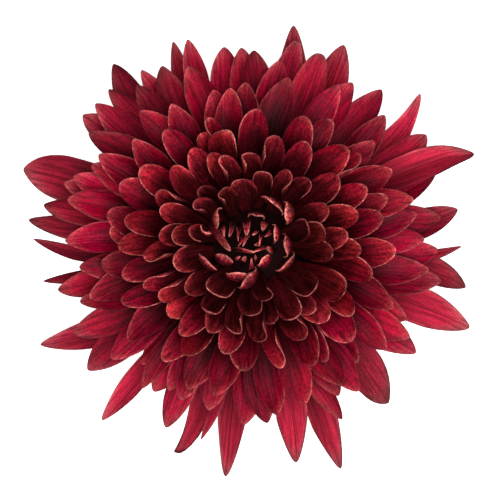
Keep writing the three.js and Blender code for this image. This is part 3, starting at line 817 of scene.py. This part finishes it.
# How each spoon of the crown came to lie: the azimuth and reach of its tip, its breadth, and how
# far its left edge, its right edge and its tip turn in.
SPOONS = [
    (98, 13.9, 5.8, 95, 40, 110), (117, 13.1, 4.6, 140, 20, 60), (168, 13.6, 4.2, 100, 60, 40),
    (287, 12.9, 4.8, 130, 20, 80), (235, 13.4, 6.2, 70, 80, 120), (15, 12.9, 4.8, 110, 40, 90),
    (144, 15.1, 4.4, 165, 20, 30), (79, 15.7, 4.8, 110, 110, 100), (270, 15.8, 5.8, 110, 50, 100),
    (131, 16.1, 4.4, 80, 40, 110), (8, 16.5, 5.0, 110, 40, 80), (175, 17.1, 5.2, 50, 60, 70),
    (197, 17.3, 5.8, 40, 50, 50), (325, 17.2, 6.2, 50, 40, 80), (238, 17.3, 5.2, 90, 30, 100),
    (61, 17.9, 4.6, 20, 155, 60), (351, 18.2, 5.4, 90, 30, 60), (23, 18.8, 5.0, 40, 20, 30),
    (299, 18.9, 6.0, 60, 60, 110), (47, 18.9, 5.0, 20, 110, 60), (91, 19.3, 5.4, 135, 40, 90),
    (260, 19.8, 5.4, 130, 120, 100), (175, 19.9, 5.2, 20, 60, 40), (107, 20.0, 4.8, 155, 30, 60),
    (275, 21.6, 5.4, 130, 20, 80), (332, 23.2, 6.6, 90, 20, 80), (153, 23.2, 5.4, 20, 130, 20),
    (212, 23.4, 5.4, 10, 170, 20), (187, 23.5, 5.4, 130, 20, 30), (136, 23.8, 5.0, 40, 20, 30),
    (299, 24.1, 5.8, 145, 20, 30), (37, 24.2, 6.2, 20, 80, 60), (76, 24.2, 6.2, 145, 30, 30),
    (122, 24.3, 5.6, 60, 20, 30), (356, 24.4, 5.4, 40, 60, 30), (15, 24.6, 5.8, 40, 20, 40),
    (257, 24.9, 5.8, 40, 30, 50), (104, 25.2, 6.2, 60, 120, 120), (233, 25.3, 5.6, 20, 30, 20),
    (202, 25.3, 4.6, 20, 150, 20), (61, 25.3, 5.8, 20, 80, 50), (326, 27.3, 5.6, 20, 90, 80),
    (345, 27.8, 5.8, 60, 20, 70), (169, 28.0, 6.0, 95, 20, 20), (267, 28.1, 6.8, 20, 30, 60),
    (284, 28.3, 4.8, 135, 110, 20), (25, 28.4, 6.0, 20, 50, 40), (240, 28.5, 6.2, 70, 20, 30),
    (108, 28.9, 4.8, 165, 10, 40), (182, 28.9, 5.8, 30, 20, 20), (194, 29.0, 5.8, 50, 20, 50),
    (146, 29.1, 6.4, 40, 20, 20), (87, 29.4, 6.4, 70, 20, 30), (11, 29.7, 6.2, 20, 30, 30),
    (45, 29.9, 7.0, 20, 60, 40), (67, 30.3, 6.8, 20, 40, 50), (297, 30.3, 6.4, 60, 20, 20),
    (205, 31.1, 5.4, 100, 20, 20), (38, 31.0, 5.4, 10, 130, 20), (127, 31.0, 5.6, 50, 10, 20),
    (303, 31.0, 5.0, 90, 10, 40), (156, 31.4, 6.8, 20, 40, 20), (18, 31.8, 5.4, 40, 20, 40),
    (233, 32.1, 5.4, 10, 20, 10), (168, 32.0, 6.4, 20, 20, 10), (357, 32.0, 6.6, 20, 30, 20),
    (57, 32.5, 6.2, 10, 50, 30), (315, 24.0, 7.0, 10, 20, 10), (317, 31.0, 7.6, 20, 10, 20),
    (222, 24.0, 6.4, 0, 0, 0), (113, 26.4, 7.0, 0, 0, 0), (175, 31.0, 7.0, 0, 0, 0),
    (188, 33.0, 7.0, 0, 0, 0), (284, 18.4, 5.6, 0, 0, 0), (247, 21.5, 5.6, 20, 20, 20),
    (160, 21.0, 5.0, 20, 30, 20), (5, 21.5, 5.0, 20, 20, 30), (218, 17.6, 5.0, 20, 20, 20),
    (312, 20.6, 5.4, 20, 20, 30), (114, 21.4, 4.6, 40, 20, 30),
]
PRESSED_FLAT = 1.06  # a spoon is broader than it looks, as its edges stand up

# Azimuth, reach and breadth of some that lie deeper and show only through the gaps.
DEEPER = [
    (312, 35, 8), (241, 36.6, 6), (228, 35.4, 6), (154, 38.5, 7), (1, 38, 6.6), (334, 38, 7),
    (237, 38.6, 7), (300, 38.5, 7), (256, 37.6, 6.6),
]
UNDER = 3 * MM  # how much deeper than their reach would have them

crown = []
for azimuth, reach, breadth, *turns in SPOONS:
    breadth = breadth * PRESSED_FLAT * MM
    floret = {"azimuth": azimuth, "reach": reach * MM, "breadth": breadth, "turns": turns}
    floret |= {"sweep": wear(-3, 3), "roll": wear(-8, 8), "hook": wear(-8, 8)}
    crown.append(floret)
crown = layered(crown)
for floret in crown:  # the flat ones lie under the others
    if not any(floret["turns"]):
        floret["level"] = floret["reach"] + UNDER
crown.sort(key=lambda floret: not any(floret["turns"]))
outer = [floret for floret in florets if floret["reach"] >= CROWN_TO]
for floret in outer:
    if apart(floret["azimuth"], 228) < 2 and floret["reach"] < SKIRT_FROM:
        floret |= {"azimuth": 233.5, "breadth": 5 * MM}  # one was pushed aside
    if floret["azimuth"] == 22:
        floret["level"] = 46.5 * MM  # and one lies over its neighbours
outer.sort(key=lambda floret: floret["azimuth"] != 22)
florets = [*crown, *outer]
for azimuth, reach, breadth in DEEPER:
    floret = {"azimuth": azimuth, "reach": reach * MM, "breadth": breadth * MM, "sweep": 0}
    florets.append({**floret, "roll": 0, "hook": -8, "level": reach * MM + UNDER})

SPOON_ROWS = [0, 0.15, 0.3, 0.45, 0.59, 0.71, 0.82, 0.91, 0.965, 1]
spoon = flat_strap("spoon", SPOON_COLUMNS, SPOON_ROWS, round_end)
whorls("inner_spoon_florets", 12 * MM, INNER_TO, spoon, len(SPOON_COLUMNS))
whorls("crown_spoon_florets", INNER_TO, CROWN_TO, spoon, len(SPOON_COLUMNS))

# ---------------------------------------------------------------- rays of the skirt
# The outermost spoons already end in a blunt point, and the oldest florets, under the others,
# are long pointed rays, which have faded to crimson and droop until they lie on the surface.


def pointed_end(across):
    return 1.01 - 0.01 * min(across * 5, 1) - 0.24 * (1 - math.sqrt(1 - min(across, 1) ** 1.5))


def ray_breadth(s):
    return lerp(CLAW_BREADTH, 1.08, smoothstep((s - 0.15) / 0.5))


RAY_COLUMNS = [-1, -0.88, -0.6, -0.28, -0.1, 0, 0.1, 0.28, 0.6, 0.88, 1]
ray = flat_strap("ray", RAY_COLUMNS, SPOON_ROWS, pointed_end)
whorls("outer_spoon_florets", CROWN_TO, SKIRT_FROM, ray, len(RAY_COLUMNS))
whorls("skirt_ray_florets", SKIRT_FROM, 1, ray, len(RAY_COLUMNS), ray_breadth)
for strap in (spoon, hooded, sliver, ray):
    bpy.data.objects.remove(strap)

# ---------------------------------------------------------------- packed claws
# Under the crown the florets narrow to claws, packed side by side on the domed receptacle, so from
# below they are a pleated skin, wine-red at the foot, with shade painted in, near-black, further up
# under the crown.

CLAWS = 60
PLEAT = 0.95  # a furrow's share of the radius
SEAT_HEIGHT = 13.8 * MM
SEAT_INSET = 1 * MM


def round_plate(name, vertices, radius, height):
    """A disc round the flower's axis, in edit mode, ready to be drawn up."""
    bpy.ops.object.select_all(action="DESELECT")
    bpy.ops.mesh.primitive_circle_add(
        vertices=vertices, radius=radius, fill_type="NGON", location=(*AXIS, height)
    )
    plate = bpy.context.object
    plate.name = name
    plate.data.name = name
    bpy.ops.object.transform_apply(location=True, rotation=True, scale=True)
    bpy.ops.object.mode_set(mode="EDIT")
    bpy.ops.mesh.select_all(action="SELECT")
    return plate


def draw_up(radius, height, profile):
    """Extrudes the selected face, from its radius and height, to those of the profile in turn."""
    for r, z in profile:
        bpy.ops.mesh.extrude_region_move(TRANSFORM_OT_translate={"value": (0, 0, z - height)})
        bpy.ops.transform.resize(value=(r / radius, r / radius, 1), center_override=(*AXIS, z))
        radius, height = r, z


def steps_round(place, steps):
    """How many steps, of so many in a turn, a place has gone round the axis."""
    return round(math.atan2(place.y - AXIS[1], place.x - AXIS[0]) / (2 * math.pi) * steps)


def close_up():
    """Turns the faces of the mesh in edit mode outwards, and leaves edit mode."""
    bpy.ops.mesh.select_all(action="SELECT")
    bpy.ops.mesh.normals_make_consistent(inside=False)
    bpy.ops.object.mode_set(mode="OBJECT")


skin = []
for level in (52 * MM, 38 * MM, 26 * MM, 16 * MM, 8 * MM):
    s, *run, _ = midrib(level, level, 0)
    skin.append([float(np.interp(packed_share(level), s, values)) for values in run])
skin.append((0.6 * MM, skin[-1][1] + 0.4 * MM))
seat = skin[0][0] - SEAT_INSET
claws = round_plate("packed_claws", 2 * CLAWS, seat, SEAT_HEIGHT)
draw_up(seat, SEAT_HEIGHT, skin)
pick(lambda place: steps_round(place, 2 * CLAWS) % 2)
bpy.ops.transform.resize(value=(PLEAT, PLEAT, 1), center_override=(*AXIS, SEAT_HEIGHT))
close_up()
bpy.ops.object.shade_smooth()

claw_skin = bare_material("packed_petal_claws")  # matt, wine-red at the foot, and dark further up where shade is painted in under the crown
here = node(claw_skin, "TexCoord").outputs["Object"]
up = node(claw_skin, "SeparateXYZ", [here]).outputs["Z"]
share = node(claw_skin, "MapRange", [up, 14 * MM, 20 * MM])
spots = node(claw_skin, "TexNoise", {"Vector": here, "Scale": 900, "Detail": 3})
shade = node(claw_skin, "Math", [share, spots], operation="ADD")
shade = node(claw_skin, "MapRange", [shade, 0.4, 1.3])
blend = {0: shade, 6: linear("#84363a"), 7: linear("#180304")}
colour = node(claw_skin, "Mix", blend, data_type="RGBA").outputs[2]
shader = {"Base Color": colour, "Roughness": 0.8, "IOR": 1.42, "Specular IOR Level": 0.1}
node(claw_skin, "OutputMaterial", {"Surface": node(claw_skin, "BsdfPrincipled", shader)})
claws.data.materials.append(claw_skin)
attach(claws, "root")
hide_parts("ray_florets")

# ---------------------------------------------------------------- involucre
# Three whorls of green bracts lap over each other like scales round a cup, and hold the head
# from below. Each grows out of the cup and hugs it up to a free point with a thin papery edge.

BRACTS = 13  # in each whorl
BRACT_WHORLS = 3
BRACT_THICKNESS = 0.35 * MM
CUP_FOOT, CUP_BELLY, CUP_RIM = np.array([(3.2, 6.3), (10.0, 7.4), (11.0, 13.5)]) * MM


def arch(foot, middle, top, t):
    """A point of the curve that leaves its foot towards the middle and comes from it to the top."""
    return (1 - t) ** 2 * foot + 2 * (1 - t) * t * middle + t**2 * top


def off_cup(t, outwards):
    """A point so far off the cup, up its side from its foot to its rim."""
    run = 2 * (1 - t) * (CUP_BELLY - CUP_FOOT) + 2 * t * (CUP_RIM - CUP_BELLY)
    run = run / np.linalg.norm(run)
    return arch(CUP_FOOT, CUP_BELLY, CUP_RIM, t) + outwards * np.array([run[1], -run[0]])


cup = round_plate("bract_cup", 4 * BRACTS, *CUP_FOOT)
cup_side = [off_cup(t, 0) for t in (0.12, 0.3, 0.5, 0.7, 0.88, 1)]
draw_up(*CUP_FOOT, [*cup_side, CUP_RIM - (0.8 * MM, -0.1 * MM)])
close_up()
bpy.ops.object.shade_smooth_by_angle(angle=math.radians(50))


def bract_outline(s):
    return np.interp(s, [0, 0.5, 1], [0.8, 1, 0.8])


def bract_end(across):
    return 1.02 - 0.02 * min(across * 4, 1) - 0.45 * (1 - math.sqrt(1 - min(across, 1) ** 1.2))


BRACT_COLUMNS = [-1, -0.8, -0.4, 0, 0.4, 0.8, 1]
BRACT_ROWS = [0, 0.25, 0.5, 0.7, 0.86, 0.95, 1]
bract = flat_strap("bract", BRACT_COLUMNS, BRACT_ROWS, bract_end)
scales = []
for whorl in range(BRACT_WHORLS):
    start = 0.06 + 0.24 * whorl  # how far up the cup the whorl grows
    foot = off_cup(start, -0.5 * MM)
    belly = off_cup(start + 0.2, 1.2 * MM)
    point = off_cup(start + 0.46, 0.8 * MM)
    curve = evenly(arch(foot, belly, point, np.linspace(0, 1, 41)[:, None]))
    for n in range(BRACTS):
        scale = {
            "azimuth": (n + 0.5 * (whorl % 2)) * 360 / BRACTS + wear(-1.5, 1.5),
            "breadth": (2.9 + 0.8 * whorl) * MM * wear(0.92, 1.08),
            "roll": wear(-6, 6),
        }
        look = looked(scale, outline=bract_outline, cup=0.25, lip=0, crease=8)
        look |= {"curl_left": 0, "curl_right": 0, "crumple": 0.04 * MM, "ripple": 0}
        look["wave"] = wear(-0.1, 0.1) * MM
        scales.append(lay(bract, "bract", curve, 0, look))
bpy.data.objects.remove(bract)


def leaf_tissue(name, dry_colour, roughness):
    """Green leaf, matt and ribbed, which has dried along its edges and at its tip."""
    m = bare_material(name)
    uv = node(m, "SeparateXYZ", [node(m, "UVMap", uv_map="UVMap")]).outputs
    here = node(m, "TexCoord").outputs["Object"]
    spots = node(m, "TexNoise", {"Vector": here, "Scale": 700, "Detail": 4})
    # Ribs 0.5 mm apart on a bract 3.5 mm broad.
    ribs = node(m, "Math", [uv["X"], 7 * 2 * math.pi], operation="MULTIPLY")
    ribs = node(m, "Math", [ribs], operation="COSINE")
    leaf = {0: spots, 6: linear("#3f5a24"), 7: linear("#6f8a44")}
    leaf = node(m, "Mix", leaf, data_type="RGBA").outputs[2]
    rib = node(m, "MapRange", [ribs, -1, 1, 0.9, 1.1])
    leaf = node(m, "HueSaturation", {"Color": leaf, "Value": rib})
    side = node(m, "Math", [uv["X"], 0.5], operation="SUBTRACT")
    side = node(m, "Math", [side], operation="ABSOLUTE")
    side = node(m, "MapRange", [side, 0.36, 0.48])
    tip = node(m, "MapRange", [uv["Y"], 0.82, 0.98])
    dry = node(m, "Math", [side, tip], operation="MAXIMUM")
    blend = {0: dry, 6: leaf, 7: linear(dry_colour)}
    shader = {
        "Base Color": node(m, "Mix", blend, data_type="RGBA").outputs[2],
        "Normal": node(m, "Bump", {"Height": ribs, "Strength": 0.3, "Distance": 0.2 * MM}),
        "Roughness": roughness,
        "IOR": 1.42,
    }
    node(m, "OutputMaterial", {"Surface": node(m, "BsdfPrincipled", shader)})
    return m


green = leaf_tissue("leafy_green_bract", "#8f6f45", 0.6)
papery = leaf_tissue("papery_bract_edge", "#7a5a38", 0.75)  # the cut of its edge, dry all through
bracts = finished(scales, "bracts", BRACT_THICKNESS, [green, green, papery])
cup.data.materials.append(green)
for piece in (bracts, cup):
    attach(piece, "root")
    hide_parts("involucre")

# ---------------------------------------------------------------- stem stub
# The stem was cut straight through just under the cup. It is green and ribbed lengthwise, and
# the cut shows a pale rind, a ring of fibres and the white pith.

STEM_RIBS = 7
RIB_DEPTH = 0.25 * MM
RIB_STEPS = 8  # from the top of one rib to the top of the next
CUT_HEIGHT = 0.03 * MM

stem = round_plate("cut_stem", RIB_STEPS * STEM_RIBS, STEM_RADIUS, CUT_HEIGHT)
for step in range(1, RIB_STEPS // 2 + 1):  # from the top of each rib down to the furrow
    depth = RIB_DEPTH * (0.5 - 0.5 * math.cos(step / RIB_STEPS * 2 * math.pi))
    beside = (step, RIB_STEPS - step)
    pick(lambda place: steps_round(place, RIB_STEPS * STEM_RIBS) % RIB_STEPS in beside)
    share = 1 - depth / STEM_RADIUS
    bpy.ops.transform.resize(value=(share, share, 1), center_override=(*AXIS, 0))
bpy.ops.mesh.select_all(action="SELECT")
height = CUT_HEIGHT
for z, share in ((0.2, 1.05), (0.5, 1.015), (3, 0.99), (5.4, 1.01), (6.25, 1.09)):
    bpy.ops.mesh.extrude_region_move(TRANSFORM_OT_translate={"value": (0, 0, z * MM - height)})
    bpy.ops.transform.resize(value=(share, share, 1), center_override=(*AXIS, z * MM))
    height = z * MM
close_up()
bpy.ops.object.shade_smooth_by_angle(angle=math.radians(45))

fibrous = bare_material("fibrous_green_stem")  # satin green skin, streaked along the ribs
here = node(fibrous, "TexCoord").outputs["Object"]
centred = node(fibrous, "Mapping", {"Vector": here, "Location": (-AXIS[0], -AXIS[1], 0)})
flat = node(fibrous, "VectorMath", [centred, (1, 1, 0)], operation="MULTIPLY")
far = node(fibrous, "VectorMath", [flat], operation="LENGTH").outputs["Value"]
# Fibres half a millimetre broad and some 7 mm long.
drawn = node(fibrous, "Mapping", {"Vector": here, "Scale": (2000, 2000, 150)})
fibres = node(fibrous, "TexNoise", {"Vector": drawn, "Scale": 1, "Detail": 3})
blend = {0: fibres, 6: linear("#4f6a30"), 7: linear("#86a058")}
skin_colour = node(fibrous, "Mix", blend, data_type="RGBA").outputs[2]
rind = node(fibrous, "MapRange", [far, 2.2 * MM, 2.45 * MM])
ring = node(fibrous, "MapRange", [far, 1.5 * MM, 2 * MM])
blend = {0: ring, 6: linear("#cfcfb0"), 7: linear("#a4b07c")}
cut_colour = node(fibrous, "Mix", blend, data_type="RGBA").outputs[2]
blend = {0: rind, 6: cut_colour, 7: skin_colour}
shader = {
    "Base Color": node(fibrous, "Mix", blend, data_type="RGBA").outputs[2],
    "Normal": node(fibrous, "Bump", {"Height": fibres, "Strength": 0.4, "Distance": 0.2 * MM}),
    "Roughness": 0.5,
    "IOR": 1.42,
}
node(fibrous, "OutputMaterial", {"Surface": node(fibrous, "BsdfPrincipled", shader)})
stem.data.materials.append(fibrous)
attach(stem, "root")
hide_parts("stem_stub")

# ---------------------------------------------------------------- floor, light and camera
# A plain sheet of white paper, lit evenly from below as on a light table, and one large soft
# light overhead. The camera looks straight down on the eye of the flower, from three metres.

bpy.ops.object.select_all(action="DESELECT")
bpy.ops.mesh.primitive_plane_add(size=6, location=(0, 0, 0))
floor = bpy.context.object
floor.name = "floor"
paper = bare_material("matt_white_paper")
shader = {"Base Color": linear("#f6f6f6"), "Roughness": 0.9}
shader |= {"Emission Color": (1, 1, 1, 1), "Emission Strength": 0.85}
node(paper, "OutputMaterial", {"Surface": node(paper, "BsdfPrincipled", shader)})
floor.data.materials.append(paper)

world = bpy.data.worlds.new("studio")
bpy.context.scene.world = world
world.use_nodes = True
world.node_tree.nodes["Background"].inputs["Color"].default_value = (1, 1, 1, 1)
world.node_tree.nodes["Background"].inputs["Strength"].default_value = 0.04

light = bpy.data.lights.new("overhead_softbox", "AREA")
light.shape = "DISK"
light.size = 1.3
light.energy = 26
softbox = bpy.data.objects.new("overhead_softbox", light)
bpy.context.scene.collection.objects.link(softbox)
softbox.location = (0.15, -0.25, 1.15)
softbox.rotation_euler = (-softbox.location).to_track_quat("-Z", "Y").to_euler()

DISTANCE = 3.0
FIELD = 109.65 * MM  # what the frame takes in,
FIELD_HEIGHT = 8 * MM  # at the height of the skirt
camera = bpy.data.cameras.new("camera")
camera.sensor_width = 36
camera.lens = camera.sensor_width * (DISTANCE - FIELD_HEIGHT) / FIELD
camera.clip_start = 0.01
camera.clip_end = 10
view = bpy.data.objects.new("camera", camera)
bpy.context.scene.collection.objects.link(view)
view.location = (AXIS[0], AXIS[1] - 1.5351 * MM, DISTANCE)  # the eye is a little above the middle
bpy.context.scene.camera = view
bpy.context.scene.view_settings.view_transform = "Standard"
